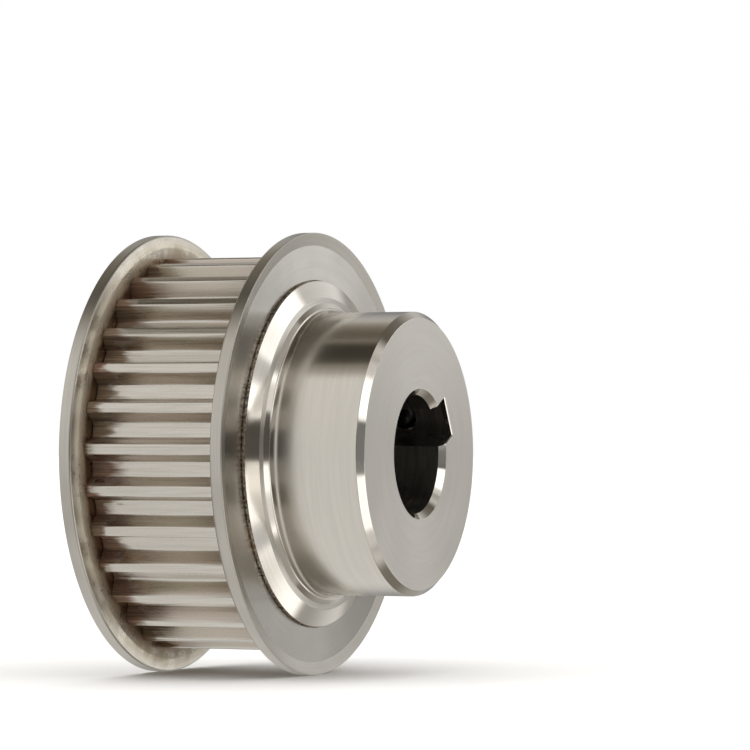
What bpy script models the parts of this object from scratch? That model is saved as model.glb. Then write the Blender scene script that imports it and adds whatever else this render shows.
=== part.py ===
"""Flanged timing belt pulley with a long hub, as an assembly of five machined pieces.

World frame: +X runs along the bore axis towards the hub end, +Z is up, and the origin lies on
the bore axis, midway between the two flanges. Every piece is modelled with its turning axis
along its own Z and hangs on an empty that turns that axis onto world +X.

Clock angles are measured about the bore axis from world +Y towards world +Z.
"""
import math

import bmesh
import bpy
from mathutils import Matrix, Vector

MM = 0.001

# Tooth form: metric trapezoidal teeth for a belt of 5 mm pitch.
TOOTH_COUNT = 30
TOOTH_PITCH = 5.0 * MM
PITCH_LINE_HEIGHT = 0.423 * MM      # belt pitch line above the tooth tips
GROOVE_DEPTH = 1.95 * MM
GROOVE_FLOOR_WIDTH = 1.83 * MM
GROOVE_FLANK_TILT = math.radians(25.0)
TIP_ROUNDING = 0.35 * MM
ROOT_ROUNDING = 0.35 * MM
LAND_CLOCK_ANGLE = math.radians(178.46)
TRACK_WIDTH = 17.3 * MM             # clear width between the flanges, for a 16 mm belt

# Flanges: turned plates with a flared rim, held on a spigot by a rolled lip.
FLANGE_THICKNESS = 1.5 * MM
FLANGE_DIAMETER = 52.5 * MM
FLANGE_FLARE_WIDTH = 1.5 * MM
FLANGE_FLARE_RISE = 0.3 * MM
FLANGE_BORE_DIAMETER = 40.4 * MM
LIP_DIAMETER = 41.0 * MM
LIP_HEIGHT = 0.49 * MM              # lip's outer edge above the flange's outer face

# Shoulder between the hub-side lip and the hub, as diameters and heights above the lip.
SHOULDER_CONE = (37.0 * MM, 0.85 * MM)
SHOULDER_STEP = (35.0 * MM, 1.46 * MM)
HUB_ROOT_HEIGHT = 2.26 * MM

HUB_DIAMETER = 33.5 * MM
HUB_FACE_X = 23.65 * MM
HUB_CHAMFER = 0.75 * MM

# Bore and keyway for a 14 mm shaft with a 5 mm key.
BORE_DIAMETER = 14.0 * MM
BORE_CHAMFER = 0.7 * MM
KEYWAY_WIDTH = 5.0 * MM
KEYWAY_DEPTH = 2.5 * MM
KEYWAY_CLOCK_ANGLE = math.radians(28.0)

# Set screws: one over the key, one a quarter turn away, both backed off by one thread pitch.
SCREW_X = 17.3 * MM
SCREW_HOLE_DIAMETER = 4.2 * MM
SCREW_TOP_RADIUS = 15.8 * MM        # outer end of each screw, from the bore axis
KEY_SCREW_LENGTH = 6.0 * MM
QUARTER_TURN_SCREW_LENGTH = 8.0 * MM
SCREW_CHAMFER = 0.35 * MM
SCREW_TIP_DIAMETER = 2.6 * MM
SOCKET_ACROSS_FLATS = 2.5 * MM
SOCKET_DEPTH = 2.4 * MM

# Touching pieces keep this clearance.
FIT_GAP = 0.2 * MM

TURNING_STEPS = 120
SCREW_STEPS = 24
ARC_STEPS = 2
CUT_MARGIN = 1.0 * MM

# Worked out from the driving dimensions.
TIP_RADIUS = TOOTH_COUNT * TOOTH_PITCH / (2 * math.pi) - PITCH_LINE_HEIGHT
ROOT_RADIUS = TIP_RADIUS - GROOVE_DEPTH
FLANGE_INNER_X = TRACK_WIDTH / 2
FLANGE_OUTER_X = FLANGE_INNER_X + FLANGE_THICKNESS
TOOTH_END_X = FLANGE_INNER_X - FIT_GAP
LIP_UNDERSIDE_X = FLANGE_OUTER_X + FIT_GAP
LIP_TOP_X = FLANGE_OUTER_X + LIP_HEIGHT
SPIGOT_RADIUS = FLANGE_BORE_DIAMETER / 2 - FIT_GAP
BORE_RADIUS = BORE_DIAMETER / 2
HUB_RADIUS = HUB_DIAMETER / 2


def clear_objects():
    for old in list(bpy.data.objects):
        bpy.data.objects.remove(old, do_unlink=True)


def new_collection(name):
    collection = bpy.data.collections.new(name)
    bpy.context.scene.collection.children.link(collection)
    return collection


def steel(name, colour, roughness):
    material = bpy.data.materials.new(name)
    material.use_nodes = True
    shader = material.node_tree.nodes["Principled BSDF"]
    shader.inputs["Base Color"].default_value = (*colour, 1.0)
    shader.inputs["Metallic"].default_value = 1.0
    shader.inputs["Roughness"].default_value = roughness
    return material


def add_object(name, mesh, collection, parent=None):
    piece = bpy.data.objects.new(name, mesh)
    collection.objects.link(piece)
    piece.parent = parent
    return piece


def finish_piece(piece, material):
    piece.data.materials.append(material)
    piece.data.shade_smooth()
    piece.data.set_sharp_from_angle(angle=math.radians(30.0))


def turned(name, outline, steps, collection, parent=None):
    """Turn a closed outline of (radius, height) points about the object's Z.

    The outline runs outwards along the top, down the outer side and back up inside.
    """
    mesh = bpy.data.meshes.new(name)
    points = [(radius, 0.0, height) for radius, height in outline]
    edges = [(i, (i + 1) % len(points)) for i in range(len(points))]
    if outline[0][0] == 0.0:
        edges = edges[:-1]
    mesh.from_pydata(points, edges, [])
    piece = add_object(name, mesh, collection, parent)
    screw = piece.modifiers.new("turning", "SCREW")
    screw.axis = "Z"
    screw.steps = steps
    screw.render_steps = steps
    screw.use_merge_vertices = True
    screw.merge_threshold = 0.00001
    return piece


def cut(piece, cutter):
    boolean = piece.modifiers.new("cut_" + cutter.name, "BOOLEAN")
    boolean.operation = "DIFFERENCE"
    boolean.solver = "EXACT"
    boolean.object = cutter


def hide_cutter(cutter):
    cutter.hide_render = True
    cutter.display_type = "WIRE"


def arc(centre, radius, start, end):
    """Points along an arc of a flat outline, from angle start to angle end."""
    points = []
    for step in range(ARC_STEPS + 1):
        angle = start + (end - start) * step / ARC_STEPS
        points.append((centre[0] + radius * math.cos(angle), centre[1] + radius * math.sin(angle)))
    return points


def groove_outline():
    """Outline of one groove between two teeth, as (radius, offset) points.

    Each flank leaves the groove's floor through the root rounding and meets the tooth tips
    through the tip rounding. Both arcs turn by the angle between floor and flank.
    """
    turn = math.pi / 2 - GROOVE_FLANK_TILT
    floor_end = GROOVE_FLOOR_WIDTH / 2 - ROOT_ROUNDING * math.tan(turn / 2)
    mouth = GROOVE_FLOOR_WIDTH / 2 + GROOVE_DEPTH * math.tan(GROOVE_FLANK_TILT)
    land_start = mouth + TIP_ROUNDING * math.tan(turn / 2)
    half = arc((ROOT_RADIUS + ROOT_ROUNDING, floor_end), ROOT_ROUNDING, math.pi, math.pi - turn)
    half += arc((TIP_RADIUS - TIP_ROUNDING, land_start), TIP_ROUNDING, -turn, 0.0)
    half.append((TIP_RADIUS + CUT_MARGIN, land_start))
    return half + [(radius, -offset) for radius, offset in reversed(half)]


def prism_mesh(name, outline, height):
    """Closed mesh of a flat outline extruded evenly about z = 0."""
    curve = bpy.data.curves.new(name, "CURVE")
    curve.dimensions = "2D"
    curve.fill_mode = "BOTH"
    curve.extrude = height / 2
    spline = curve.splines.new("POLY")
    spline.points.add(len(outline) - 1)
    for point, (x, y) in zip(spline.points, outline):
        point.co = (x, y, 0.0, 1.0)
    spline.use_cyclic_u = True
    drawing = bpy.data.objects.new(name, curve)
    bpy.context.scene.collection.objects.link(drawing)
    evaluated = drawing.evaluated_get(bpy.context.evaluated_depsgraph_get())
    mesh = bpy.data.meshes.new_from_object(evaluated)
    bpy.data.objects.remove(drawing)
    bm = bmesh.new()
    bm.from_mesh(mesh)
    bmesh.ops.remove_doubles(bm, verts=bm.verts, dist=0.000001)
    bmesh.ops.recalc_face_normals(bm, faces=bm.faces)
    bm.to_mesh(mesh)
    bm.free()
    return mesh


def local_angle(clock_angle):
    """Angle about the turning axis, in the pieces' own frame, of a clock angle."""
    return clock_angle + math.pi / 2


def tooth_gap_cutter(collection, parent):
    """All the grooves between the teeth, as one cutter of separate prisms."""
    groove = prism_mesh("tooth_gap", groove_outline(), 2 * (TOOTH_END_X + CUT_MARGIN))
    pitch_angle = 2 * math.pi / TOOTH_COUNT
    first_gap = local_angle(LAND_CLOCK_ANGLE) + pitch_angle / 2
    ring = bmesh.new()
    for index in range(TOOTH_COUNT):
        turned_groove = groove.copy()
        turned_groove.transform(Matrix.Rotation(first_gap + index * pitch_angle, 4, "Z"))
        ring.from_mesh(turned_groove)
    mesh = bpy.data.meshes.new("tooth_gaps")
    ring.to_mesh(mesh)
    ring.free()
    cutter = add_object("tooth_gaps", mesh, collection, parent)
    hide_cutter(cutter)
    return cutter


def keyway_cutter(collection, parent):
    length = HUB_FACE_X + LIP_TOP_X + 2 * CUT_MARGIN
    depth = BORE_RADIUS + KEYWAY_DEPTH
    bm = bmesh.new()
    bmesh.ops.create_cube(bm, size=1.0)
    bmesh.ops.scale(bm, vec=(depth, KEYWAY_WIDTH, length), verts=bm.verts)
    bmesh.ops.translate(bm, vec=(depth / 2, 0.0, (HUB_FACE_X - LIP_TOP_X) / 2), verts=bm.verts)
    mesh = bpy.data.meshes.new("keyway_slot")
    bm.to_mesh(mesh)
    bm.free()
    cutter = add_object("keyway_slot", mesh, collection, parent)
    cutter.rotation_euler = (0.0, 0.0, local_angle(KEYWAY_CLOCK_ANGLE))
    hide_cutter(cutter)
    return cutter


def place_radially(piece, clock_angle, radius, x):
    """Stand a piece on a radius of the pulley, with its own Z pointing outwards."""
    turn = Matrix.Rotation(local_angle(clock_angle), 4, "Z")
    piece.location = turn @ Vector((radius, 0.0, x))
    piece.rotation_euler = (turn @ Matrix.Rotation(math.pi / 2, 4, "Y")).to_euler()


def straight_cutter(name, diameter, segments, bottom, top, collection, parent):
    """Straight round or many-sided cutter along its own Z, from bottom to top."""
    bm = bmesh.new()
    bmesh.ops.create_cone(
        bm, cap_ends=True, segments=segments,
        radius1=diameter / 2, radius2=diameter / 2, depth=top - bottom)
    bmesh.ops.translate(bm, vec=(0.0, 0.0, (top + bottom) / 2), verts=bm.verts)
    mesh = bpy.data.meshes.new(name)
    bm.to_mesh(mesh)
    bm.free()
    cutter = add_object(name, mesh, collection, parent)
    hide_cutter(cutter)
    return cutter


def screw_hole_cutter(name, clock_angle, inner_end, collection, parent):
    """Radial hole through the hub, starting in the open bore or keyway."""
    cutter = straight_cutter(
        name, SCREW_HOLE_DIAMETER, SCREW_STEPS,
        inner_end - SCREW_TOP_RADIUS, HUB_RADIUS + CUT_MARGIN - SCREW_TOP_RADIUS,
        collection, parent)
    place_radially(cutter, clock_angle, SCREW_TOP_RADIUS, SCREW_X)
    return cutter


def spool_outline():
    """Half section of the body: hub, shoulder, lips, spigots, toothed rim and bore."""
    hub_side = [
        (BORE_RADIUS + BORE_CHAMFER, HUB_FACE_X),
        (HUB_RADIUS - HUB_CHAMFER, HUB_FACE_X),
        (HUB_RADIUS, HUB_FACE_X - HUB_CHAMFER),
        (HUB_RADIUS, LIP_TOP_X + HUB_ROOT_HEIGHT),
        (SHOULDER_STEP[0] / 2, LIP_TOP_X + SHOULDER_STEP[1]),
        (SHOULDER_CONE[0] / 2, LIP_TOP_X + SHOULDER_CONE[1]),
        (LIP_DIAMETER / 2, LIP_TOP_X),
    ]
    rim_half = [
        (LIP_DIAMETER / 2, LIP_UNDERSIDE_X),
        (SPIGOT_RADIUS, LIP_UNDERSIDE_X),
        (SPIGOT_RADIUS, TOOTH_END_X),
        (TIP_RADIUS, TOOTH_END_X),
    ]
    far_side = [
        (LIP_DIAMETER / 2, -LIP_TOP_X),
        (BORE_RADIUS + BORE_CHAMFER, -LIP_TOP_X),
        (BORE_RADIUS, -LIP_TOP_X + BORE_CHAMFER),
        (BORE_RADIUS, HUB_FACE_X - BORE_CHAMFER),
    ]
    return hub_side + rim_half + [(radius, -x) for radius, x in reversed(rim_half)] + far_side


def pulley_body(pieces, cutters, axis):
    """Toothed rim, spigots and hub, machined from one bar."""
    body = turned("pulley_body", spool_outline(), TURNING_STEPS, pieces, axis)
    cut(body, tooth_gap_cutter(cutters, axis))
    cut(body, keyway_cutter(cutters, axis))
    inside_keyway = BORE_RADIUS + KEYWAY_DEPTH - CUT_MARGIN
    inside_bore = BORE_RADIUS - CUT_MARGIN
    cut(body, screw_hole_cutter(
        "key_screw_hole", KEYWAY_CLOCK_ANGLE, inside_keyway, cutters, axis))
    cut(body, screw_hole_cutter(
        "quarter_turn_screw_hole", KEYWAY_CLOCK_ANGLE - math.pi / 2, inside_bore, cutters, axis))
    finish_piece(body, steel("machined_steel", (0.62, 0.60, 0.57), 0.32))


def flange(name, is_far, pieces, axis):
    """Turned flange plate; the far one is the same plate turned over."""
    rim_radius = FLANGE_DIAMETER / 2
    flare_radius = rim_radius - FLANGE_FLARE_WIDTH
    plate = turned(name, [
        (FLANGE_BORE_DIAMETER / 2, FLANGE_OUTER_X),
        (flare_radius, FLANGE_OUTER_X),
        (rim_radius, FLANGE_OUTER_X + FLANGE_FLARE_RISE),
        (rim_radius, FLANGE_INNER_X + FLANGE_FLARE_RISE),
        (flare_radius, FLANGE_INNER_X),
        (FLANGE_BORE_DIAMETER / 2, FLANGE_INNER_X),
    ], TURNING_STEPS, pieces, axis)
    if is_far:
        plate.rotation_euler = (math.pi, 0.0, 0.0)
    finish_piece(plate, steel(name + "_steel", (0.60, 0.58, 0.55), 0.28))


def set_screw(name, clock_angle, length, pieces, cutters, axis):
    """Headless screw with a hex socket; its origin is its outer end, on the slide axis."""
    radius = SCREW_HOLE_DIAMETER / 2 - FIT_GAP
    screw = turned(name, [
        (0.0, 0.0),
        (radius - SCREW_CHAMFER, 0.0),
        (radius, -SCREW_CHAMFER),
        (radius, -length + radius - SCREW_TIP_DIAMETER / 2),
        (SCREW_TIP_DIAMETER / 2, -length),
        (0.0, -length),
    ], SCREW_STEPS, pieces, axis)
    place_radially(screw, clock_angle, SCREW_TOP_RADIUS, SCREW_X)
    socket = straight_cutter(
        name + "_socket", SOCKET_ACROSS_FLATS / math.cos(math.pi / 6), 6,
        -SOCKET_DEPTH, CUT_MARGIN, cutters, axis)
    place_radially(socket, clock_angle, SCREW_TOP_RADIUS, SCREW_X)
    cut(screw, socket)
    finish_piece(screw, steel(name + "_steel", (0.09, 0.09, 0.10), 0.38))


def build_pulley():
    clear_objects()
    pieces = new_collection("timing_belt_pulley")
    cutters = new_collection("cutters")
    axis = add_object("pulley_axis", None, pieces)
    axis.rotation_euler = (0.0, math.pi / 2, 0.0)

    pulley_body(pieces, cutters, axis)
    flange("hub_side_flange", False, pieces, axis)
    flange("far_side_flange", True, pieces, axis)
    set_screw("key_set_screw", KEYWAY_CLOCK_ANGLE, KEY_SCREW_LENGTH, pieces, cutters, axis)
    set_screw("quarter_turn_set_screw", KEYWAY_CLOCK_ANGLE - math.pi / 2,
              QUARTER_TURN_SCREW_LENGTH, pieces, cutters, axis)


build_pulley()
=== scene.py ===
"""Looks of the flanged timing belt pulley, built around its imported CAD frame.

The bore axis is world X, the hub is at +X and Z is up. Lengths are in metres. Clock angles are
measured about the bore axis from +Y towards +Z.
"""
import math

import bmesh
import bpy
import numpy as np
from mathutils import Matrix, Vector


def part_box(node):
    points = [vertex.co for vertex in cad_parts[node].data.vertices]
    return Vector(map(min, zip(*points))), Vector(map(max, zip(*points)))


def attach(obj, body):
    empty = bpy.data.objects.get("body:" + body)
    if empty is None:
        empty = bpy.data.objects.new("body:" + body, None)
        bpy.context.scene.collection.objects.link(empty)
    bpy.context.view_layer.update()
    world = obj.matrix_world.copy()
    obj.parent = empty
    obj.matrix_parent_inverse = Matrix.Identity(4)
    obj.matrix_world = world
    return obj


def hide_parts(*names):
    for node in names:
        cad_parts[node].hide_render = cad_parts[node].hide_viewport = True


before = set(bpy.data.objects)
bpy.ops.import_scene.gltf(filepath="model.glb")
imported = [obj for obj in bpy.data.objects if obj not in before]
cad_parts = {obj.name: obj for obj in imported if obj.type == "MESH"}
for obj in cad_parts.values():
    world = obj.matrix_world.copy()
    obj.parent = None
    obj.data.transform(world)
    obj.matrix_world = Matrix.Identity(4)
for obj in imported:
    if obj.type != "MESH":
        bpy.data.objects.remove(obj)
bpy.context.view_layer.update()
MM = 0.001

# ---------------------------------------------------------------- sizes taken from the frame
BODY_LOW, BODY_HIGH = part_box("pulley_body")
FLANGE_LOW, FLANGE_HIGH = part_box("hub_side_flange")
HUB_FACE_X = BODY_HIGH.x
FAR_FACE_X = BODY_LOW.x
LIP_TOP_X = -FAR_FACE_X
FLANGE_INNER_X = FLANGE_LOW.x
RIM_EDGE_X = FLANGE_HIGH.x
RIM_RADIUS = FLANGE_HIGH.z

# ---------------------------------------------------------------- driving sizes
TOOTH_COUNT = 30
TIP_RADIUS = 23.45 * MM
GROOVE_DEPTH = 1.95 * MM
GROOVE_FLOOR_WIDTH = 1.83 * MM
GROOVE_FLANK_TILT = math.radians(25.0)
TIP_ROUNDING = 0.28 * MM
ROOT_ROUNDING = 0.38 * MM
LAND_CLOCK_ANGLE = math.radians(178.46)

FLANGE_THICKNESS = 1.5 * MM
FLARE_WIDTH = 1.5 * MM
FLARE_RISE = 0.3 * MM
FLANGE_BORE_RADIUS = 20.64 * MM
LIP_RADIUS = 20.5 * MM
LIP_SINK = 0.35 * MM                        # how far the lip reaches into the flange's bore
LIP_HOLLOW = 0.1 * MM
SPIGOT_GAP = 0.02 * MM                      # from the body's spigot to the flange's bore
RIM_END_GAP = 0.01 * MM                     # from the tooth ends to the flanges
TOOTH_EDGE_BREAK = 0.12 * MM
# Burrs round the hub-side lip: seed, depth below the lip's top, added radius, height of the burrs.
LIP_BURRS = (
    (1, 0.12 * MM, 0.01 * MM, 0.02 * MM),
    (2, 0.24 * MM, 0.02 * MM, 0.035 * MM),
    (3, 0.38 * MM, 0.0, 0.05 * MM),
)
BURR_WAVES = 14
BURR_CYCLES = (40, 260)                     # fewest and most waves round the lip
# Corners of the shoulder: radius, height above the lip.
CONE_TOP = (18.5 * MM, 0.87 * MM)
BAND_END = (17.86 * MM, 1.08 * MM)
STRIP_END = (17.3 * MM, 1.5 * MM)
GROOVE_BOTTOM = (17.2 * MM, 1.38 * MM)
HUB_FILLET = 1.1 * MM
HUB_RADIUS = 16.75 * MM
HUB_CHAMFER = 0.75 * MM

BORE_RADIUS = 7.0 * MM
BORE_CHAMFER = 0.7 * MM
BORE_MOUTH_RADIUS = BORE_RADIUS + BORE_CHAMFER
KEYWAY_HALF_WIDTH = 2.5 * MM
KEYWAY_FLOOR = 9.5 * MM
KEYWAY_EDGE_BREAK = 0.1 * MM
KEYWAY_CLOCK_ANGLE = math.radians(28.0)

SCREW_X = 17.3 * MM
SCREW_TOP_RADIUS = 15.8 * MM
SCREW_LENGTHS = {"key_set_screw": 6.0 * MM, "quarter_turn_set_screw": 8.0 * MM}
SCREW_ANGLES = {
    "key_set_screw": KEYWAY_CLOCK_ANGLE,
    "quarter_turn_set_screw": KEYWAY_CLOCK_ANGLE - math.pi / 2,
}
THREAD_PITCH = 0.8 * MM
THREAD_CREST = 2.45 * MM
THREAD_ROOT = 2.02 * MM
THREAD_CLEARANCE = 0.06 * MM
THREAD_FLANK_SLOPE = 2.6                    # share of the thread's depth for each pitch
THREAD_ROOT_FLAT = 0.25
HOLE_SINK = 0.1 * MM                        # countersink's added radius at the hub's surface
HOLE_OVERRUN = 1.0 * MM
SOCKET_ACROSS_FLATS = 2.5 * MM
SOCKET_MOUTH = 2.75 * MM
SOCKET_DEPTH = 2.4 * MM
SOCKET_LEAD_IN = 0.12 * MM
SOCKET_DRILL_POINT = 0.5 * MM
SCREW_CHAMFER = 0.4 * MM
POINT_RADIUS = 1.3 * MM
POINT_SLOPE = 1.3
CUP_RADIUS = 0.7 * MM
CUP_DEPTH = 0.3 * MM

FLAT_GUARD = 0.03 * MM                      # width of the narrow band beside each rounding
SHARP_ANGLE = math.radians(34.0)
SAME_ANGLE = 2e-5                           # angles closer than this, in radians, are one
ROUND_OFF = 1e-7
ARC_STEP = math.radians(15.0)
RIM_STEPS = 480
SCREW_STEPS = 72
SCREW_ROWS_PER_PITCH = 10
HOLE_STEPS = 48
HOLE_ROWS_PER_PITCH = 8
TOOTH_ARC_STEPS = 5
FILLET_STEPS = 8
CHAMFER_STEPS = 4

CAMERA_AZIMUTH = math.radians(25.7)         # from -Y towards +X
CAMERA_ELEVATION = math.radians(0.4)
CAMERA_DISTANCE = 0.531
CAMERA_FOCUS_X = 1.6 * MM
CAMERA_AIM_RIGHT = 14.8 * MM
CAMERA_AIM_UP = 9.4 * MM
CAMERA_LENS = 213.0
CAMERA_SENSOR = 36.0
FLOOR_HALF_WIDTH = 3.0


# ---------------------------------------------------------------- mesh helpers
def polar_mesh(name, rows, angles, to_world, closed_loop):
    """Mesh of rows of points about an axis. A row is (height, radius or radius function, slot).

    The slot is the material of the faces between a row and the next. A row of radius 0 is one
    point. A closed loop joins the last row to the first.
    """
    points = []
    row_points = []
    for height, radius, _ in rows:
        if not callable(radius) and radius == 0.0:
            row_points.append([len(points)] * len(angles))
            points.append((0.0, 0.0, height))
            continue
        radii = radius(angles) if callable(radius) else np.full(len(angles), radius)
        row_points.append(list(range(len(points), len(points) + len(angles))))
        heights = np.full(len(angles), height)
        points.extend(np.stack([radii * np.cos(angles), radii * np.sin(angles), heights], 1))
    faces = []
    slots = []
    for index in range(len(rows) if closed_loop else len(rows) - 1):
        upper = row_points[index]
        lower = row_points[(index + 1) % len(rows)]
        for step in range(len(angles)):
            beside = (step + 1) % len(angles)
            corners = [upper[step], lower[step], lower[beside], upper[beside]]
            corners = [c for i, c in enumerate(corners) if c != corners[i - 1]]
            if len(corners) > 2:
                faces.append(corners)
                slots.append(rows[index][2])
    mesh = bpy.data.meshes.new(name)
    mesh.from_pydata([tuple(p) for p in points], [], faces)
    mesh.polygons.foreach_set("material_index", slots)
    mesh.transform(to_world)
    mesh.update()
    return mesh


def add_piece(name, mesh, materials):
    piece = bpy.data.objects.new(name, mesh)
    bpy.context.scene.collection.objects.link(piece)
    for material in materials:
        mesh.materials.append(material)
    mesh.shade_smooth()
    mesh.set_sharp_from_angle(angle=SHARP_ANGLE)
    return piece


def rounded_profile(corners):
    """Turn (height, radius, rounding, slot) corners into rows, each rounding as a short arc.

    A row just past each end of an arc keeps the smooth shading off the flats beside it.
    """
    rows = []
    count = len(corners)
    for index, (height, radius, rounding, slot) in enumerate(corners):
        here = Vector((height, radius))
        if rounding == 0.0:
            rows.append((height, radius, slot))
            continue
        before = Vector(corners[index - 1][:2]) - here
        after = Vector(corners[(index + 1) % count][:2]) - here
        half_angle = before.angle(after) / 2
        reach = rounding / math.tan(half_angle)
        start = here + before.normalized() * reach
        end = here + after.normalized() * reach
        centre = here + (before.normalized() + after.normalized()).normalized() * (
            rounding / math.sin(half_angle))
        first = math.atan2(*reversed(start - centre))
        turn = math.atan2(*reversed(end - centre)) - first
        turn = (turn + math.pi) % (2 * math.pi) - math.pi
        steps = max(2, math.ceil(abs(turn) / ARC_STEP))
        slot_before = corners[index - 1][3]
        rows.append((*(here + before.normalized() * (reach + FLAT_GUARD)), slot_before))
        for step in range(steps + 1):
            angle = first + turn * step / steps
            point = centre + rounding * Vector((math.cos(angle), math.sin(angle)))
            rows.append((point.x, point.y, slot if step == steps else slot_before))
        rows.append((*(here + after.normalized() * (reach + FLAT_GUARD)), slot))
    return rows


# Local Z of a turned piece onto world X, and local X onto the clock angle 0.
AXIS_TO_WORLD = Matrix(((0, 0, 1, 0), (1, 0, 0, 0), (0, 1, 0, 0), (0, 0, 0, 1)))


# ---------------------------------------------------------------- toothed body
def pitch_outline():
    """Half a tooth pitch, from the middle of a groove's floor to the middle of a land."""
    turn = math.pi / 2 - GROOVE_FLANK_TILT
    root_radius = TIP_RADIUS - GROOVE_DEPTH
    floor_end = GROOVE_FLOOR_WIDTH / 2 - ROOT_ROUNDING * math.tan(turn / 2)
    mouth = GROOVE_FLOOR_WIDTH / 2 + GROOVE_DEPTH * math.tan(GROOVE_FLANK_TILT)
    land_start = mouth + TIP_ROUNDING * math.tan(turn / 2)
    drop = TIP_RADIUS - math.sqrt(TIP_RADIUS ** 2 - land_start ** 2)
    points = [(root_radius, share * floor_end) for share in (0.0, 0.5)]
    for step in range(TOOTH_ARC_STEPS + 1):
        angle = math.pi - turn * step / TOOTH_ARC_STEPS
        points.append((root_radius + ROOT_ROUNDING * (1 + math.cos(angle)),
                       floor_end + ROOT_ROUNDING * math.sin(angle)))
    tips = []
    for step in range(TOOTH_ARC_STEPS + 1):
        angle = -turn * (1 - step / TOOTH_ARC_STEPS)
        tips.append((TIP_RADIUS - drop - TIP_ROUNDING * (1 - math.cos(angle)),
                     land_start + TIP_ROUNDING * math.sin(angle)))
    root_end = points[-1]
    for share in (1 / 3, 2 / 3):
        points.append(tuple(a + (b - a) * share for a, b in zip(root_end, tips[0])))
    points += tips
    half_pitch = math.pi / TOOTH_COUNT
    first = math.atan2(land_start, TIP_RADIUS - drop)
    for share in (1 / 3, 2 / 3, 1.0):
        angle = first + (half_pitch - first) * share
        points.append((TIP_RADIUS * math.cos(angle), TIP_RADIUS * math.sin(angle)))
    return [(math.atan2(y, x), math.hypot(x, y)) for x, y in points]


def tooth_table():
    """Angles and radii all round the rim, from the clock angle 0."""
    half = pitch_outline()
    pitch = [(-angle, radius) for angle, radius in reversed(half[1:-1])] + half
    pitch_angle = 2 * math.pi / TOOTH_COUNT
    first_gap = LAND_CLOCK_ANGLE + pitch_angle / 2
    angles = []
    radii = []
    for index in range(TOOTH_COUNT):
        for angle, radius in pitch:
            angles.append((first_gap + index * pitch_angle + angle) % (2 * math.pi))
            radii.append(radius)
    order = np.argsort(angles)
    return np.array(angles)[order], np.array(radii)[order]


def slot_radius(angles, grow):
    """Distance from the axis to the keyway's walls and floor, and 0 elsewhere."""
    off = (angles - KEYWAY_CLOCK_ANGLE + math.pi) % (2 * math.pi) - math.pi
    floor = KEYWAY_FLOOR + grow
    side = KEYWAY_HALF_WIDTH + grow
    corner = math.atan2(side, floor)
    on_floor = np.abs(off) <= corner + ROUND_OFF
    on_wall = np.abs(off) < math.pi / 2
    reach = np.where(on_wall, side / np.maximum(np.abs(np.sin(off)), 1e-6), 0.0)
    return np.where(on_floor, floor / np.cos(off), reach)


def bore_row(radius, grow=0.0):
    """Radius of the bore with the keyway's slot in it, with the slot's walls moved out by grow."""
    return lambda angles: np.maximum(radius, slot_radius(angles, grow))


def body_angles(tooth_angles):
    """The rim's angles, with those where the keyway's corners and edges lie."""
    extra = []
    for grow, radii in ((0.0, (BORE_RADIUS, BORE_RADIUS + BORE_CHAMFER / 2)),
                        (KEYWAY_EDGE_BREAK, (BORE_MOUTH_RADIUS,))):
        side = KEYWAY_HALF_WIDTH + grow
        offsets = [math.atan2(side, KEYWAY_FLOOR + grow)]
        offsets += [math.asin(side / radius) for radius in radii]
        for offset in offsets:
            extra += [KEYWAY_CLOCK_ANGLE - offset, KEYWAY_CLOCK_ANGLE + offset]
    angles = np.sort(np.concatenate([tooth_angles, np.array(extra) % (2 * math.pi)]))
    keep = np.concatenate([[True], np.diff(angles) > SAME_ANGLE])
    return angles[keep]


# Material slots of the body.
HUB, SHOULDER, TEETH, BORE, FACE, LIP, BAND = range(7)


def ragged(seed, depth):
    """Radius change with the angle, like the burrs of a rolled edge."""
    draw = np.random.default_rng(seed)
    cycles = draw.integers(*BURR_CYCLES, BURR_WAVES)
    phases = draw.uniform(0.0, 2 * math.pi, BURR_WAVES)

    def change(angles):
        waves = np.cos(np.outer(angles, cycles) + phases)
        return depth * np.clip(waves.sum(axis=1) / 3.0, -1.0, 1.0)
    return change


def burred_row(height, radius, seed, depth, slot):
    """Row of the body's profile with burrs on it."""
    change = ragged(seed, depth)
    return (height, lambda angles: radius + change(angles), slot)


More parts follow.
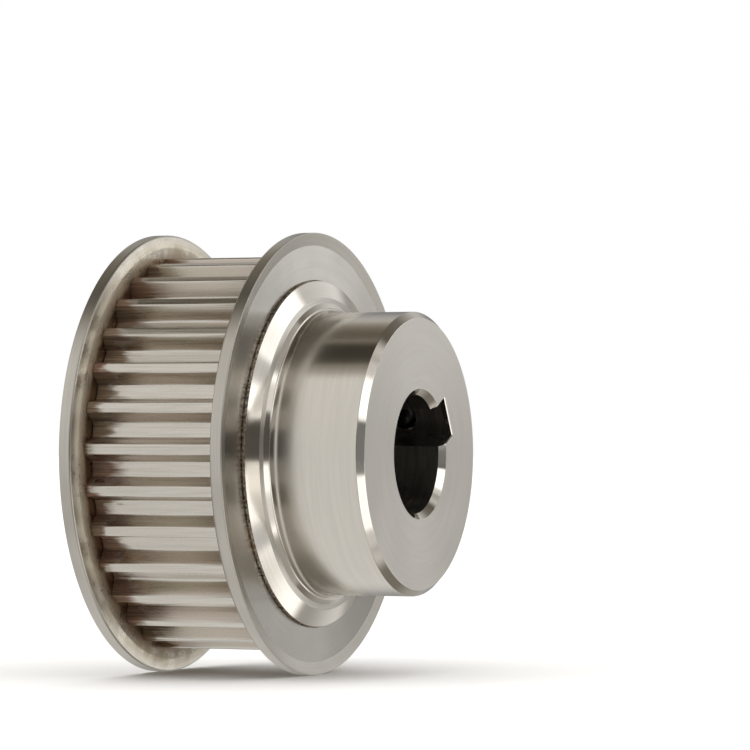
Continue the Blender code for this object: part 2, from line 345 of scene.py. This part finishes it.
def body_rows(tooth_angles, tooth_radii):
    """Rows of the body from the bore's mouth at the hub, over the outside and back inside."""
    def teeth(angles):
        return np.interp(angles, tooth_angles, tooth_radii, period=2 * math.pi)

    def broken_teeth(angles):
        return teeth(angles) - TOOTH_EDGE_BREAK

    rows = [(HUB_FACE_X, bore_row(BORE_MOUTH_RADIUS, KEYWAY_EDGE_BREAK), FACE)]
    face_edge = HUB_RADIUS - HUB_CHAMFER
    hub = [
        (HUB_FACE_X, (BORE_MOUTH_RADIUS + face_edge) / 2, 0.0, FACE),
        (HUB_FACE_X, face_edge, 0.06 * MM, SHOULDER),
        (HUB_FACE_X - HUB_CHAMFER, HUB_RADIUS, 0.08 * MM, HUB),
        (SCREW_X, HUB_RADIUS, 0.0, HUB),
    ]
    rows += rounded_profile([(HUB_FACE_X, BORE_RADIUS, 0.0, HUB)] + hub)[1:]
    fillet_foot = LIP_TOP_X + GROOVE_BOTTOM[1]
    rows.append((fillet_foot + HUB_FILLET + FLAT_GUARD, HUB_RADIUS, HUB))
    for step in range(FILLET_STEPS + 1):
        turn = math.pi / 2 * step / FILLET_STEPS
        rows.append((fillet_foot + HUB_FILLET * (1 - math.sin(turn)),
                     HUB_RADIUS + (GROOVE_BOTTOM[0] - HUB_RADIUS) * (1 - math.cos(turn)), HUB))
    shoulder = [
        (fillet_foot, GROOVE_BOTTOM[0], 0.0, SHOULDER),
        (LIP_TOP_X + STRIP_END[1], STRIP_END[0], 0.05 * MM, SHOULDER),
        (LIP_TOP_X + BAND_END[1], BAND_END[0], 0.05 * MM, BAND),
        (LIP_TOP_X + CONE_TOP[1], CONE_TOP[0], 0.06 * MM, SHOULDER),
        (LIP_TOP_X, LIP_RADIUS, 0.0, LIP),
    ]
    rows += rounded_profile(shoulder)[1:]
    for seed, below, grow, depth in LIP_BURRS:
        rows.append(burred_row(LIP_TOP_X - below, LIP_RADIUS + grow, seed, depth, LIP))
    lip_foot = FLANGE_INNER_X + FLANGE_THICKNESS - LIP_SINK
    spigot = FLANGE_BORE_RADIUS - SPIGOT_GAP
    tooth_end = FLANGE_INNER_X - RIM_END_GAP
    rows += [
        (lip_foot, LIP_RADIUS - LIP_HOLLOW, LIP),
        (lip_foot, spigot, SHOULDER),
        (FLANGE_INNER_X, spigot, SHOULDER),
        (tooth_end, broken_teeth, TEETH),
        (tooth_end - TOOTH_EDGE_BREAK, teeth, TEETH),
        (0.0, teeth, TEETH),
        (-tooth_end + TOOTH_EDGE_BREAK, teeth, TEETH),
        (-tooth_end, broken_teeth, SHOULDER),
    ]
    far = [
        (-FLANGE_INNER_X, spigot, 0.0, SHOULDER),
        (-lip_foot, spigot, 0.0, SHOULDER),
        (-lip_foot, LIP_RADIUS, 0.0, LIP),
        (FAR_FACE_X, LIP_RADIUS, 0.14 * MM, FACE),
        (FAR_FACE_X, (BORE_RADIUS + LIP_RADIUS) / 2, 0.0, FACE),
    ]
    rows += rounded_profile(far + [(FAR_FACE_X, BORE_RADIUS, 0.0, FACE)])[:-1]
    rows.append((FAR_FACE_X, bore_row(BORE_MOUTH_RADIUS, KEYWAY_EDGE_BREAK), SHOULDER))
    for step in range(1, CHAMFER_STEPS + 1):
        share = step / CHAMFER_STEPS
        rows.append((FAR_FACE_X + BORE_CHAMFER * share,
                     bore_row(BORE_RADIUS + BORE_CHAMFER * (1 - share)),
                     BORE if step == CHAMFER_STEPS else SHOULDER))
    for step in range(CHAMFER_STEPS):
        share = step / CHAMFER_STEPS
        rows.append((HUB_FACE_X - BORE_CHAMFER * (1 - share),
                     bore_row(BORE_RADIUS + BORE_CHAMFER * share), SHOULDER))
    rows.append((HUB_FACE_X - KEYWAY_EDGE_BREAK,
                 bore_row(BORE_MOUTH_RADIUS - KEYWAY_EDGE_BREAK), SHOULDER))
    return rows


def thread_radius(height, angles, crest, root):
    """Radius of a right-hand screw thread with flat crests and roots."""
    phase = (height / THREAD_PITCH - angles / (2 * math.pi)) % 1.0
    from_root = 0.5 - np.abs(phase - 0.5)
    rise = np.clip(from_root * THREAD_FLANK_SLOPE - THREAD_ROOT_FLAT, 0.0, 1.0)
    return root + (crest - root) * rise


def screw_frame(clock_angle):
    """Local Z of a screw onto its outward radius, from its outer end."""
    turn = Matrix.Rotation(clock_angle, 4, "X")
    stand = Matrix.Translation((SCREW_X, SCREW_TOP_RADIUS, 0.0)) @ Matrix.Rotation(
        -math.pi / 2, 4, "X")
    return turn @ stand


def threaded_cutter(name, clock_angle, inner_end):
    """Threaded rod that cuts a set screw's hole, with a countersink at the hub's surface."""
    angles = np.linspace(0, 2 * math.pi, HOLE_STEPS, endpoint=False)
    top = HUB_RADIUS - SCREW_TOP_RADIUS
    bottom = inner_end - SCREW_TOP_RADIUS
    steps = round((top - bottom) / THREAD_PITCH * HOLE_ROWS_PER_PITCH)
    crest = THREAD_CREST + THREAD_CLEARANCE
    root = THREAD_ROOT + THREAD_CLEARANCE

    def ring(height):
        sink = crest + HOLE_SINK + (height - top)
        return lambda a: np.maximum(thread_radius(height, a, crest, root), sink)

    above = top + 0.6 * MM
    rows = [(above, 0.0, 0), (above, ring(above), 0)]
    for step in range(steps + 1):
        height = top + (bottom - top) * step / steps
        rows.append((height, ring(height), 0))
    rows.append((bottom, 0.0, 0))
    mesh = polar_mesh(name, rows, angles, screw_frame(clock_angle), False)
    cutter = bpy.data.objects.new(name, mesh)
    bpy.context.scene.collection.objects.link(cutter)
    return cutter


def cut_and_apply(piece, cutters):
    for cutter in cutters:
        boolean = piece.modifiers.new("cut", "BOOLEAN")
        boolean.object = cutter
        boolean.solver = "EXACT"
    evaluated = piece.evaluated_get(bpy.context.evaluated_depsgraph_get())
    mesh = bpy.data.meshes.new_from_object(evaluated)
    piece.modifiers.clear()
    piece.data = mesh
    for cutter in cutters:
        bpy.data.objects.remove(cutter)


def make_body(materials):
    tooth_angles, tooth_radii = tooth_table()
    rows = body_rows(tooth_angles, tooth_radii)
    mesh = polar_mesh("pulley_body_visual", rows, body_angles(tooth_angles), AXIS_TO_WORLD, True)
    piece = add_piece("toothed_hub_body", mesh, materials)
    cut_and_apply(piece, [
        threaded_cutter("key_hole", SCREW_ANGLES["key_set_screw"],
                        KEYWAY_FLOOR - HOLE_OVERRUN),
        threaded_cutter("quarter_hole", SCREW_ANGLES["quarter_turn_set_screw"],
                        BORE_RADIUS - HOLE_OVERRUN),
    ])
    piece.data.set_sharp_from_angle(angle=SHARP_ANGLE)
    return piece


# ---------------------------------------------------------------- flanges
# Material slots of a flange.
PLATE, RIM, INNER_SIDE = range(3)


def make_flange(name, side, materials):
    """Flared plate on the hub side (side 1) or the far side (side -1)."""
    outer_face = FLANGE_INNER_X + FLANGE_THICKNESS
    flare = RIM_RADIUS - FLARE_WIDTH
    corners = [
        (outer_face, FLANGE_BORE_RADIUS, 0.0, PLATE),
        (outer_face, flare, 0.1 * MM, RIM),
        (RIM_EDGE_X, RIM_RADIUS, 0.12 * MM, RIM),
        (FLANGE_INNER_X + FLARE_RISE, RIM_RADIUS, 0.28 * MM, INNER_SIDE),
        (FLANGE_INNER_X, flare, 0.3 * MM, INNER_SIDE),
        (FLANGE_INNER_X, FLANGE_BORE_RADIUS, 0.0, PLATE),
    ]
    rows = rounded_profile(corners)
    angles = np.linspace(0, 2 * math.pi, RIM_STEPS, endpoint=False)
    to_world = AXIS_TO_WORLD if side > 0 else Matrix.Rotation(math.pi, 4, "Z") @ AXIS_TO_WORLD
    return add_piece(name, polar_mesh(name, rows, angles, to_world, True), materials)


# ---------------------------------------------------------------- set screws
def hexagon(across_flats):
    """Radius of a hexagon by the angle about its middle."""
    def radius(angles):
        off = (angles + math.pi / 6) % (math.pi / 3) - math.pi / 6
        return across_flats / 2 / np.cos(off)
    return radius


def make_set_screw(name, length, clock_angle, material):
    """Headless screw from the point of its socket's drill, over the mouth and down the thread."""
    steps = round(length / THREAD_PITCH * SCREW_ROWS_PER_PITCH)

    def ring(height):
        limit = min(THREAD_CREST, THREAD_CREST - SCREW_CHAMFER - height,
                    POINT_RADIUS + (height + length) * POINT_SLOPE)
        return lambda a: np.minimum(thread_radius(height, a, THREAD_CREST, THREAD_ROOT), limit)

    socket = hexagon(SOCKET_ACROSS_FLATS)
    rows = [
        (-SOCKET_DEPTH - SOCKET_DRILL_POINT, 0.0, 0),
        (-SOCKET_DEPTH, socket, 0),
        (-SOCKET_LEAD_IN, socket, 0),
        (0.0, hexagon(SOCKET_MOUTH), 0),
    ]
    for step in range(steps + 1):
        height = -length * step / steps
        rows.append((height, ring(height), 0))
    rows += [(-length + CUP_DEPTH, CUP_RADIUS, 0), (-length + CUP_DEPTH, 0.0, 0)]
    angles = np.linspace(0, 2 * math.pi, SCREW_STEPS, endpoint=False)
    mesh = polar_mesh(name + "_threaded", rows, angles, screw_frame(clock_angle), False)
    return add_piece(name + "_threaded", mesh, [material])


# ---------------------------------------------------------------- node helpers
class Graph:
    """Short names for the nodes of one material or world."""

    def __init__(self, owner):
        owner.use_nodes = True
        self.owner = owner
        self.tree = owner.node_tree
        self.nodes = self.tree.nodes

    def add(self, kind, inputs=(), **settings):
        node = self.nodes.new(kind)
        for key, value in settings.items():
            setattr(node, key, value)
        for key, value in dict(inputs).items():
            self.feed(node.inputs[key], value)
        return node

    def feed(self, socket, value):
        if isinstance(value, bpy.types.NodeSocket):
            self.tree.links.new(value, socket)
        else:
            socket.default_value = value

    def math(self, operation, first, second=0.0, third=0.0):
        inputs = {0: first, 1: second, 2: third}
        return self.add("ShaderNodeMath", inputs, operation=operation).outputs[0]

    def dot(self, vector, direction):
        inputs = {0: vector, 1: direction}
        return self.add("ShaderNodeVectorMath", inputs, operation="DOT_PRODUCT").outputs["Value"]

    def vector(self, x, y, z):
        return self.add("ShaderNodeCombineXYZ", {0: x, 1: y, 2: z}).outputs[0]

    def split(self, vector):
        return self.add("ShaderNodeSeparateXYZ", {0: vector}).outputs

    def bump(self, shader, height, strength, distance):
        inputs = {"Height": height, "Strength": strength, "Distance": distance}
        self.feed(shader.inputs["Normal"], self.add("ShaderNodeBump", inputs).outputs[0])

    def ramp(self, value, low, high, to_low=0.0, to_high=1.0):
        inputs = {"Value": value, "From Min": low, "From Max": high,
                  "To Min": to_low, "To Max": to_high}
        node = self.add("ShaderNodeMapRange", inputs, interpolation_type="SMOOTHSTEP")
        return node.outputs["Result"]

    def noise(self, vector, scale, detail=2.0, roughness=0.5):
        inputs = {"Vector": vector, "Scale": scale, "Detail": detail, "Roughness": roughness}
        return self.add("ShaderNodeTexNoise", inputs).outputs["Fac"]

    def mix(self, share, first, second):
        node = self.add("ShaderNodeMix", data_type="RGBA")
        self.feed(node.inputs[0], share)
        self.feed(node.inputs[6], first)
        self.feed(node.inputs[7], second)
        return node.outputs[2]


def grey(value, warmth=0.0):
    """A light of this brightness, drawn towards orange by its warmth."""
    return (value * (1 + 0.8 * warmth), value * (1 + 0.1 * warmth), value * (1 - warmth), 1.0)


def between(graph, value, low, high, softness):
    """1 where a value is between two limits, falling to 0 over the softness at each."""
    rise = graph.ramp(value, low - softness, low + softness)
    fall = graph.ramp(value, high + softness, high - softness)
    return graph.math("MULTIPLY", rise, fall)


# ---------------------------------------------------------------- materials
def steel_graph(name):
    """A metal material with the coordinates that the surface marks follow."""
    graph = Graph(bpy.data.materials.new(name))
    shader = graph.nodes["Principled BSDF"]
    shader.inputs["Metallic"].default_value = 1.0
    where = graph.add("ShaderNodeTexCoord").outputs["Object"]
    return graph, shader, where


def axis_distance(graph, y, z):
    """Distance from the bore axis."""
    return graph.math("SQRT", graph.math("ADD", graph.math("MULTIPLY", y, y),
                                         graph.math("MULTIPLY", z, z)))


def turning_coordinates(graph, where, along, around):
    """Coordinates that run fast across turning marks and slowly along them."""
    x, y, z = graph.split(where)
    radius = axis_distance(graph, y, z)
    across = graph.math("MULTIPLY", graph.math("MULTIPLY_ADD", radius, 1.7, x), along)
    turn_y = graph.math("MULTIPLY", graph.math("DIVIDE", y, radius), around)
    turn_z = graph.math("MULTIPLY", graph.math("DIVIDE", z, radius), around)
    return graph.vector(turn_y, turn_z, across)


# Turned surfaces: colour, roughness, anisotropy, depth of the turning marks, unevenness of tone.
TURNED_STEELS = {
    "turned_hub_steel": ((0.72, 0.695, 0.65), 0.15, 0.5, 0.002 * MM, 0.08),
    "bright_cut_steel": ((0.80, 0.77, 0.72), 0.1, 0.4, 0.003 * MM, 0.06),
    "rough_cut_steel": ((0.64, 0.62, 0.58), 0.35, 0.3, 0.02 * MM, 0.4),
    "faced_steel": ((0.95, 0.93, 0.885), 0.34, 0.3, 0.006 * MM, 0.08),
    "bored_steel": ((0.40, 0.39, 0.37), 0.32, 0.3, 0.01 * MM, 0.5),
    "flange_plate_steel": ((0.72, 0.70, 0.66), 0.22, 0.8, 0.002 * MM, 0.08),
    "flange_rim_steel": ((0.68, 0.66, 0.615), 0.36, 0.5, 0.003 * MM, 0.12),
}


def turned_steel(name, colour, roughness, anisotropy, mark_depth, uneven):
    """Steel off the lathe: fine rings, and reflections drawn out across them."""
    graph, shader, where = steel_graph(name)
    fine = graph.noise(turning_coordinates(graph, where, 5000.0, 2.0), 1.0, 2.0)
    bands = graph.noise(turning_coordinates(graph, where, 1300.0, 1.2), 1.0, 2.0)
    clouds = graph.noise(where, 160.0, 3.0)
    tone = graph.math("MULTIPLY_ADD", fine, 0.5, graph.math("MULTIPLY", bands, 0.5))
    dark = tuple(c * (1 - uneven * 0.5) for c in colour) + (1.0,)
    light = tuple(min(1.0, c * (1 + uneven * 0.25)) for c in colour) + (1.0,)
    graph.feed(shader.inputs["Base Color"], graph.mix(graph.ramp(tone, 0.32, 0.66), dark, light))
    graph.feed(shader.inputs["Roughness"],
               graph.ramp(clouds, 0.3, 0.7, roughness * 0.9, roughness * 1.12))
    shader.inputs["Anisotropic"].default_value = anisotropy
    shader.inputs["Anisotropic Rotation"].default_value = 0.25
    tangent = graph.add("ShaderNodeTangent", direction_type="RADIAL", axis="X")
    graph.feed(shader.inputs["Tangent"], tangent.outputs[0])
    graph.bump(shader, tone, 0.35, mark_depth)
    return graph.owner


def cut_tooth_steel():
    """Steel off the hob: streaks along the teeth, painted shade on the flanks and brown stains at
    the far flange.
    """
    graph, shader, where = steel_graph("cut_tooth_steel")
    x, y, z = graph.split(where)
    streak_scale = 5200.0
    streaks = graph.noise(
        graph.vector(graph.math("MULTIPLY", x, 140.0), graph.math("MULTIPLY", y, streak_scale),
                     graph.math("MULTIPLY", z, streak_scale)),
        1.0, 3.0)
    base = graph.mix(graph.ramp(streaks, 0.3, 0.7), (0.63, 0.60, 0.55, 1), (0.80, 0.775, 0.73, 1))

    # Painted shade on the flanks, between the lands and the grooves' floors: a darker brown tint
    # that stands in for the shade inside the grooves.
    radius = axis_distance(graph, y, z)
    flank = between(graph, radius, TIP_RADIUS - GROOVE_DEPTH + 0.25 * MM, TIP_RADIUS - 0.2 * MM,
                    0.15 * MM)
    tint = graph.noise(graph.vector(graph.math("MULTIPLY", x, 0.3), y, z), 300.0, 2.0)
    painted_flank_shade = graph.mix(graph.ramp(tint, 0.4, 0.6), (0.50, 0.445, 0.34, 1), (0.56, 0.45, 0.385, 1))
    base = graph.mix(graph.math("MULTIPLY", flank, 0.55), base, painted_flank_shade)

    # Stains that reach out from the far flange, less far on the lands.
    from_end = graph.math("SUBTRACT", x, -FLANGE_INNER_X)
    patches = graph.noise(graph.vector(graph.math("MULTIPLY", x, 0.35), y, z), 330.0, 3.0, 0.6)
    reach = graph.ramp(patches, 0.36, 0.66, 1.0 * MM, 5.2 * MM)
    on_land = graph.ramp(radius, TIP_RADIUS - 0.3 * MM, TIP_RADIUS - 0.05 * MM, 1.0, 0.72)
    reach = graph.math("MULTIPLY", reach, on_land)
    fringe = graph.math("MULTIPLY_ADD", streaks, 0.5, -0.25)
    share = graph.math("ADD", graph.math("DIVIDE", from_end, reach), fringe)
    stain = graph.ramp(share, 0.45, 0.95, 0.95, 0.0)

    # The stains' colour: dark streaks, paler between them, with spots of red rust.
    rust = graph.noise(where, 900.0, 3.0, 0.65)
    pale = graph.mix(graph.ramp(tint, 0.42, 0.58), (0.27, 0.205, 0.125, 1), (0.30, 0.18, 0.11, 1))
    dark = graph.mix(graph.ramp(streaks, 0.35, 0.65), (0.13, 0.082, 0.052, 1), pale)
    red = graph.math("MULTIPLY", graph.ramp(rust, 0.5, 0.62), graph.ramp(tint, 0.5, 0.6))
    brown = graph.mix(red, dark, (0.21, 0.10, 0.075, 1))
    graph.feed(shader.inputs["Base Color"], graph.mix(stain, base, brown))
    graph.feed(shader.inputs["Roughness"],
               graph.math("MULTIPLY_ADD", stain, 0.25, graph.ramp(streaks, 0.3, 0.7, 0.22, 0.34)))
    graph.feed(shader.inputs["Metallic"], graph.math("MULTIPLY_ADD", stain, -0.35, 1.0))
    graph.bump(shader, streaks, 0.25, 0.02 * MM)
    return graph.owner


def stained_plate_steel():
    """Flange steel with an oil film and brown stains in a ring round the tooth ends."""
    graph, shader, where = steel_graph("stained_plate_steel")
    _, y, z = graph.split(where)
    radius = axis_distance(graph, y, z)
    rings = graph.noise(turning_coordinates(graph, where, 2600.0, 5.0), 1.0, 3.0, 0.6)
    clouds = graph.noise(where, 520.0, 3.0, 0.6)
    clean = graph.mix(graph.ramp(rings, 0.35, 0.65), (0.78, 0.74, 0.65, 1), (0.89, 0.86, 0.79, 1))
    oil = between(graph, radius, TIP_RADIUS - 0.3 * MM, TIP_RADIUS + 2.0 * MM, 0.5 * MM)
    oil = graph.math("MULTIPLY", oil, graph.ramp(clouds, 0.35, 0.65, 0.25, 0.6))
    clean = graph.mix(oil, clean, (0.76, 0.67, 0.50, 1))
    reach = graph.ramp(clouds, 0.35, 0.65, 0.9 * MM, 2.2 * MM)
    past_teeth = graph.math("SUBTRACT", radius, TIP_RADIUS)
    stain = graph.ramp(graph.math("DIVIDE", past_teeth, reach), 0.0, 1.0, 0.75, 0.0)
    graph.feed(shader.inputs["Base Color"], graph.mix(stain, clean, (0.34, 0.235, 0.14, 1)))
    graph.feed(shader.inputs["Roughness"], graph.ramp(clouds, 0.3, 0.7, 0.24, 0.4))
    graph.feed(shader.inputs["Metallic"], graph.math("MULTIPLY_ADD", oil, -0.9, 1.0))
    graph.bump(shader, rings, 0.2, 0.006 * MM)
    return graph.owner


def rolled_lip_steel():
    """The edge rolled over the flange: bright where it is burnished, brown in its hollows."""
    graph, shader, where = steel_graph("rolled_lip_steel")
    grain = graph.noise(where, 3600.0, 2.0, 0.6)
    stain = graph.noise(where, 420.0, 2.0)
    brown = graph.mix(graph.ramp(stain, 0.42, 0.62), (0.22, 0.19, 0.16, 1), (0.36, 0.23, 0.14, 1))
    graph.feed(shader.inputs["Base Color"],
               graph.mix(graph.ramp(grain, 0.40, 0.58), brown, (0.80, 0.76, 0.70, 1)))
    shader.inputs["Roughness"].default_value = 0.36
    graph.bump(shader, grain, 0.5, 0.06 * MM)
    return graph.owner


def black_oxide():
    """The screws' black finish, a little worn."""
    graph, shader, where = steel_graph("black_oxide")
    wear = graph.noise(where, 1500.0, 3.0)
    colour = graph.mix(graph.ramp(wear, 0.5, 0.75), (0.045, 0.045, 0.05, 1), (0.14, 0.13, 0.12, 1))
    graph.feed(shader.inputs["Base Color"], colour)
    graph.feed(shader.inputs["Roughness"], graph.ramp(wear, 0.3, 0.7, 0.42, 0.28))
    graph.bump(shader, wear, 0.2, 0.02 * MM)
    return graph.owner


# ---------------------------------------------------------------- studio
# Brightness of the room round the bore axis, as (degrees from the front over the top, light,
# warmth), to the left of the pulley and to its right.
LEFT_ROOM = (
    (-180, 0.30, 0.03), (-156, 0.36, 0.03), (-138, 0.66, 0.04), (-128, 0.76, 0.04),
    (-60, 0.75, 0.04), (0, 0.73, 0.04), (64, 0.76, 0.05), (67, 0.52, 0.1), (73, 0.30, 0.14),
    (77, 0.22, 0.16), (80, 0.07, 0.2), (87, 0.045, 0.22), (98, 0.045, 0.22), (101, 0.10, 0.2),
    (105, 0.23, 0.18), (108, 0.13, 0.2), (116, 0.12, 0.24), (124, 0.19, 0.22), (131, 0.32, 0.14),
    (138, 0.52, 0.06), (146, 0.44, 0.03), (160, 0.26, 0.02), (180, 0.20, 0.02),
)
RIGHT_ROOM = (
    (-180, 0.30, 0.04), (-174, 0.36, 0.04), (-168, 0.78, 0.04), (-161, 0.62, 0.05),
    (-155, 0.36, 0.06), (-146, 0.34, 0.08), (-134, 0.18, 0.14), (-100, 0.20, 0.16),
    (-80, 0.30, 0.16), (-44, 0.31, 0.14), (-39, 0.13, 0.2), (-26, 0.11, 0.2), (-22, 0.28, 0.1),
    (-6, 0.26, 0.1), (-2, 0.06, 0.18), (18, 0.07, 0.18), (22, 0.36, 0.12), (36, 0.36, 0.12),
    (39, 0.15, 0.2), (52, 0.17, 0.2), (56, 0.38, 0.12), (70, 0.36, 0.14), (76, 0.14, 0.2),
    (84, 0.07, 0.22), (112, 0.07, 0.22), (122, 0.11, 0.2), (135, 0.16, 0.12), (144, 0.34, 0.08),
    (154, 0.60, 0.04), (164, 0.80, 0.03), (172, 0.96, 0.02), (180, 0.98, 0.02),
)


def room_gradient(graph, share, stops):
    """Colours that change with the angle round the bore axis."""
    node = graph.add("ShaderNodeValToRGB", {0: share})
    elements = node.color_ramp.elements
    for index, (degrees, light, warmth) in enumerate(stops):
        place = degrees / 360.0 + 0.5
        element = elements[0] if index == 0 else elements.new(place)
        element.position = place
        element.color = grey(light, warmth)
        if index == 0:
            elements.remove(elements[1])
    return node.outputs[0]


def patch(graph, direction, towards, half_width, softness):
    """1 inside a round patch of the sky of this half width, in degrees, and 0 outside."""
    towards = Vector(towards).normalized()
    inner = math.cos(math.radians(half_width - softness))
    outer = math.cos(math.radians(half_width + softness))
    return graph.ramp(graph.dot(direction, tuple(towards)), outer, inner)


def add_back_regions(graph, room, x, y, z):
    """A dim opening behind the pulley, and shade low on the left behind it."""
    opening = graph.math("MULTIPLY", between(graph, x, -0.12, 0.29, 0.04), graph.ramp(y, 0.6, 0.8))
    opening = graph.math("MULTIPLY", opening, between(graph, z, -0.24, 0.24, 0.04))
    room = graph.mix(opening, room, grey(0.34, 0.08))
    shade = graph.math("MULTIPLY", graph.ramp(x, -0.52, -0.66), graph.ramp(z, 0.3, -0.4))
    return graph.mix(shade, room, grey(0.28, 0.06))


def add_screens(graph, room, right, x, y, z):
    """Two bright screens on the right, one above eye level and one below, with their borders."""
    height = graph.math("ABSOLUTE", z)
    mirrored = graph.vector(x, y, height)
    shelf = graph.math("MULTIPLY", graph.ramp(x, 0.5, 0.62),
                       between(graph, height, 0.6, 0.84, 0.03))
    room = graph.mix(shelf, room, grey(0.66, 0.05))

    inner_edge = graph.ramp(y, 0.5, 0.66, 0.07, 0.28)
    past_edge = graph.ramp(graph.math("SUBTRACT", height, inner_edge), -0.02, 0.02)
    screen = graph.math("MULTIPLY", past_edge, graph.ramp(height, 0.66, 0.62))
    light = graph.mix(graph.ramp(z, -0.02, 0.02), grey(1.4, 0.04), grey(1.6, 0.02))
    room = graph.mix(graph.math("MULTIPLY", right, screen), room, light)

    gap = patch(graph, mirrored, (0.86, 0.425, 0.275), 3.5, 1.5)
    room = graph.mix(gap, room, grey(0.6, 0.03))
    dim = patch(graph, mirrored, (0.93, -0.02, 0.37), 7.0, 3.0)
    room = graph.mix(dim, room, grey(0.8, 0.04))

    canopy = graph.ramp(graph.math("MULTIPLY_ADD", y, -0.52, height), 0.09, 0.14)
    canopy = graph.math("MULTIPLY", canopy, graph.ramp(y, 0.06, 0.12))
    return graph.mix(graph.math("MULTIPLY", right, canopy), room, grey(0.36, 0.08))


def add_dark_walls(graph, room, right, y, z):
    """A dark band at eye level on the right, and a dim wall in front of it."""
    upper_edge = graph.ramp(y, -0.1, 0.05, 0.3, 0.15)
    band = graph.math("MULTIPLY", graph.ramp(graph.math("SUBTRACT", z, upper_edge), 0.015, -0.015),
                      graph.ramp(z, -0.07, -0.04))
    room = graph.mix(graph.math("MULTIPLY", right, band), room, grey(0.08, 0.14))
    wall = graph.math("MULTIPLY", graph.ramp(y, -0.34, -0.36),
                      between(graph, z, -0.20, 0.37, 0.015))
    return graph.mix(graph.math("MULTIPLY", right, wall), room, grey(0.21, 0.03))


def make_world():
    """White to the eye, and a room of soft light and dark for the steel to reflect.

    In a direction, x is the share towards the hub's side, y towards the back and z upwards.
    """
    world = bpy.data.worlds.new("studio")
    bpy.context.scene.world = world
    graph = Graph(world)
    direction = graph.add("ShaderNodeTexCoord").outputs["Generated"]
    x, y, z = graph.split(direction)
    turn = graph.math("ARCTAN2", z, graph.math("MULTIPLY", y, -1.0))
    share = graph.math("MULTIPLY_ADD", turn, 0.5 / math.pi, 0.5)
    room = graph.mix(graph.ramp(x, -0.22, 0.12), room_gradient(graph, share, LEFT_ROOM),
                     room_gradient(graph, share, RIGHT_ROOM))
    right = graph.ramp(graph.math("MULTIPLY_ADD", y, 0.25, x), 0.66, 0.72)
    room = add_back_regions(graph, room, x, y, z)
    room = add_screens(graph, room, right, x, y, z)
    room = add_dark_walls(graph, room, right, y, z)

    background = graph.nodes["Background"]
    seen = graph.add("ShaderNodeLightPath").outputs["Is Camera Ray"]
    graph.feed(background.inputs["Color"], graph.mix(seen, room, (1.0, 1.0, 1.0, 1.0)))


def make_floor_light():
    """Broad light from above for the floor, which the steel doesn't mirror."""
    data = bpy.data.lights.new("floor_light", "SUN")
    data.energy = 3.0
    data.angle = math.radians(120.0)
    light = bpy.data.objects.new("floor_light", data)
    light.visible_glossy = False
    bpy.context.scene.collection.objects.link(light)


def make_floor():
    """Wide plain floor that the rims stand on."""
    bm = bmesh.new()
    bmesh.ops.create_grid(bm, x_segments=2, y_segments=2, size=FLOOR_HALF_WIDTH)
    bmesh.ops.translate(bm, vec=(0, 0, -RIM_RADIUS), verts=bm.verts)
    mesh = bpy.data.meshes.new("floor")
    bm.to_mesh(mesh)
    bm.free()
    floor = bpy.data.objects.new("floor", mesh)
    bpy.context.scene.collection.objects.link(floor)
    material = bpy.data.materials.new("pale_floor")
    shader = Graph(material).nodes["Principled BSDF"]
    shader.inputs["Base Color"].default_value = (0.93, 0.93, 0.93, 1)
    shader.inputs["Roughness"].default_value = 0.9
    mesh.materials.append(material)
    floor.visible_glossy = False


def make_camera():
    """Camera on the hub's side, a little above the axis, aimed up and to the right of it."""
    back = Vector((math.sin(CAMERA_AZIMUTH) * math.cos(CAMERA_ELEVATION),
                   -math.cos(CAMERA_AZIMUTH) * math.cos(CAMERA_ELEVATION),
                   math.sin(CAMERA_ELEVATION)))
    right = Vector((math.cos(CAMERA_AZIMUTH), math.sin(CAMERA_AZIMUTH), 0.0))
    up = back.cross(right)
    focus = Vector((CAMERA_FOCUS_X, 0.0, 0.0))
    data = bpy.data.cameras.new("camera")
    data.lens = CAMERA_LENS
    data.sensor_width = CAMERA_SENSOR
    data.clip_start = 0.01
    data.clip_end = 50.0
    camera = bpy.data.objects.new("camera", data)
    camera.location = focus + back * CAMERA_DISTANCE
    aim = focus + right * CAMERA_AIM_RIGHT + up * CAMERA_AIM_UP
    camera.rotation_euler = (camera.location - aim).to_track_quat("Z", "Y").to_euler()
    bpy.context.scene.collection.objects.link(camera)
    bpy.context.scene.camera = camera


# ---------------------------------------------------------------- the object
make_camera()
turned = {name: turned_steel(name, *look) for name, look in TURNED_STEELS.items()}
body_steels = {
    HUB: turned["turned_hub_steel"],
    SHOULDER: turned["bright_cut_steel"],
    TEETH: cut_tooth_steel(),
    BORE: turned["bored_steel"],
    FACE: turned["faced_steel"],
    LIP: rolled_lip_steel(),
    BAND: turned["rough_cut_steel"],
}
body = make_body([body_steels[slot] for slot in sorted(body_steels)])
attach(body, "pulley")
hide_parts("pulley_body")

plate_steel = turned["flange_plate_steel"]
flanges = (("hub_side_flange", 1, plate_steel), ("far_side_flange", -1, stained_plate_steel()))
for flange_name, flange_side, inner_steel in flanges:
    flange = make_flange(flange_name + "_plate", flange_side,
                         [plate_steel, turned["flange_rim_steel"], inner_steel])
    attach(flange, "pulley")
    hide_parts(flange_name)

screw_bodies = {"key_set_screw": "key_screw", "quarter_turn_set_screw": "quarter_turn_screw"}
screw_steel = black_oxide()
for screw_name, screw_body in screw_bodies.items():
    screw = make_set_screw(screw_name, SCREW_LENGTHS[screw_name], SCREW_ANGLES[screw_name],
                           screw_steel)
    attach(screw, screw_body)
    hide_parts(screw_name)

make_floor()
make_world()
make_floor_light()
bpy.context.scene.view_settings.view_transform = "Standard"
